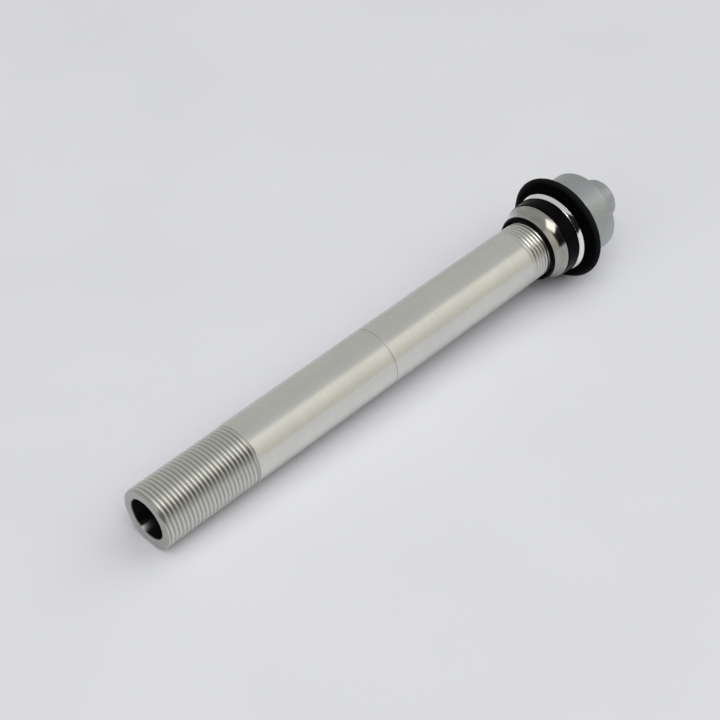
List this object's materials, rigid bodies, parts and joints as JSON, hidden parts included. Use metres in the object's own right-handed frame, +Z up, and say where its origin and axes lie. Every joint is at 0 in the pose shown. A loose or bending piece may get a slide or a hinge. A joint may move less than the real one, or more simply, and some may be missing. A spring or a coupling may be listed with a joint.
{
  "type": "hub axle",
  "caption": "Hollow light-alloy rear hub axle, threaded at its free end, with a ball-race cone, a rubber lip seal and an end nut with a dropout nub.",
  "frame": {"origin": "on the surface that the axle lies on, under the middle of its length", "axes": "+X along the axle from the free thread end to the nub, +Z up, with the axle's own line tipped up towards the nub by the angle at which it rests"},
  "size_m": [0.143, 0.0258, 0.0258],
  "materials": {
    "axle_alloy": "satin turned",
    "cone_steel": "ground race, blackened elsewhere",
    "seal_rubber": "satin moulded",
    "washer_steel": "plain",
    "nut_zinc": "zinc plated"
  },
  "bodies": {
    "root": {"axle": "axle_alloy", "bearing_cone": "cone_steel", "lip_seal": "seal_rubber", "lock_washer": "washer_steel", "end_nut": "nut_zinc"}
  },
  "joints": []
}
